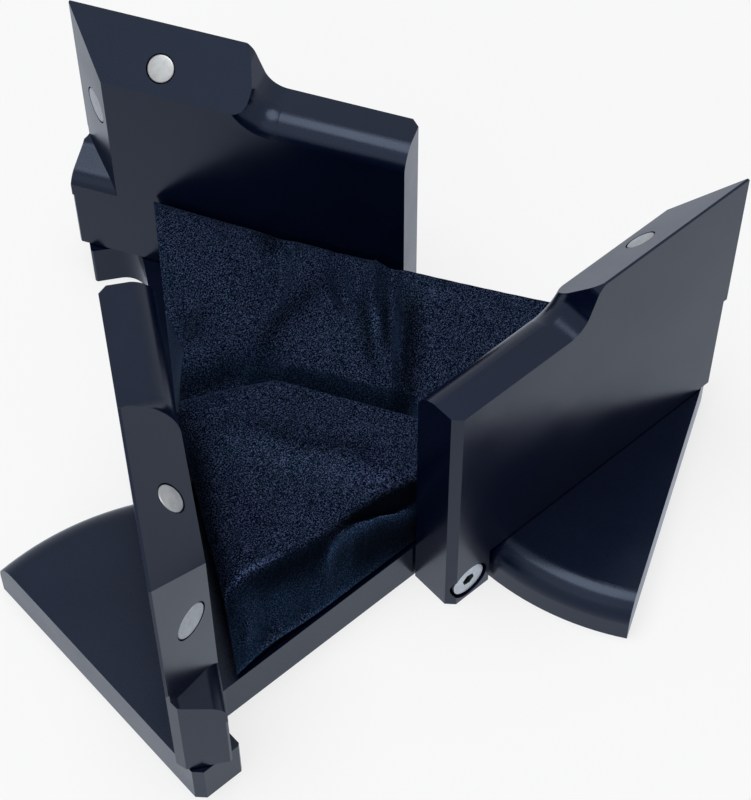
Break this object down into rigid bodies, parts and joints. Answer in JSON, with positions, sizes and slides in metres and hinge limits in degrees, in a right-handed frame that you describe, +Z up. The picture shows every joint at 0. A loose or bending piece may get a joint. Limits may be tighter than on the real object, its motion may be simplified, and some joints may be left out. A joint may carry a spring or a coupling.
{
  "type": "folding ring display box",
  "caption": "Folding ring box of thick metal plates that stand open round a soft cushion with a ring slot and fold together into a small closed cube.",
  "frame": {"origin": "middle of the open box's footprint, on the surface it stands on", "axes": "+Z up; -Y is the front side, where one base plate's strip and the right wall plate face; +X to the right"},
  "size_m": [0.0948, 0.1014, 0.0495],
  "materials": {
    "plate": "black anodised, satin",
    "magnet": "bright nickel plating",
    "screw": "turned stainless steel",
    "washer": "smooth",
    "cushion": "short pile velvet"
  },
  "bodies": {
    "front_base": {"front_base": "plate", "right_wall_pivot_screw": "screw", "right_wall_pivot_washer": "washer", "front_cushion": "cushion"},
    "right_wall": {"right_wall": "plate", "right_wall_top_magnet": "magnet", "right_wall_end_magnet": "magnet", "right_base_pivot_screw": "screw", "right_base_pivot_washer": "washer"},
    "right_base": {"right_base": "plate", "right_cushion": "cushion"},
    "left_wall": {"left_wall": "plate", "left_wall_top_magnet": "magnet", "left_wall_end_magnet": "magnet", "front_base_pivot_screw": "screw", "front_base_pivot_washer": "washer"},
    "rear_base": {"rear_base": "plate", "left_wall_pivot_screw": "screw", "left_wall_pivot_washer": "washer", "rear_cushion": "cushion"},
    "back_wall": {"back_wall": "plate", "back_wall_top_magnet": "magnet", "back_wall_end_magnet": "magnet", "back_wall_pivot_screw": "screw", "back_wall_pivot_washer": "washer", "rear_base_pivot_screw": "screw", "rear_base_pivot_washer": "washer"}
  },
  "joints": [
    {"name": "right_wall_fold", "type": "hinge", "parent": "front_base", "child": "right_wall", "pos_m": [0.00015, -0.02816, 0.0035], "axis": [0, -1, 0], "range_deg": [0, 90], "deforming": ["front_cushion"]},
    {"name": "right_base_turn", "type": "hinge", "parent": "right_wall", "child": "right_base", "pos_m": [0.04315, -0.02816, 0.0035], "axis": [0, 0, -1], "range_deg": [0, 30], "deforming": ["right_cushion"]},
    {"name": "left_wall_turn", "type": "hinge", "parent": "front_base", "child": "left_wall", "pos_m": [-0.04285, -0.02816, 0.0035], "axis": [0, 0, 1], "range_deg": [0, 30]},
    {"name": "rear_base_fold", "type": "hinge", "parent": "left_wall", "child": "rear_base", "pos_m": [-0.02135, 0.00908, 0.0035], "axis": [0.866, -0.5, 0], "range_deg": [0, 90], "deforming": ["rear_cushion"]},
    {"name": "back_wall_turn", "type": "hinge", "parent": "rear_base", "child": "back_wall", "pos_m": [0.00015, 0.04632, 0.0035], "axis": [0, 0, 1], "range_deg": [0, 30]}
  ],
  "couplings": [
    {"joint": "right_base_turn", "follows": "right_wall_fold", "ratio": 0.33333},
    {"joint": "left_wall_turn", "follows": "right_wall_fold", "ratio": 0.33333},
    {"joint": "rear_base_fold", "follows": "right_wall_fold", "ratio": 1},
    {"joint": "back_wall_turn", "follows": "right_wall_fold", "ratio": 0.33333}
  ]
}
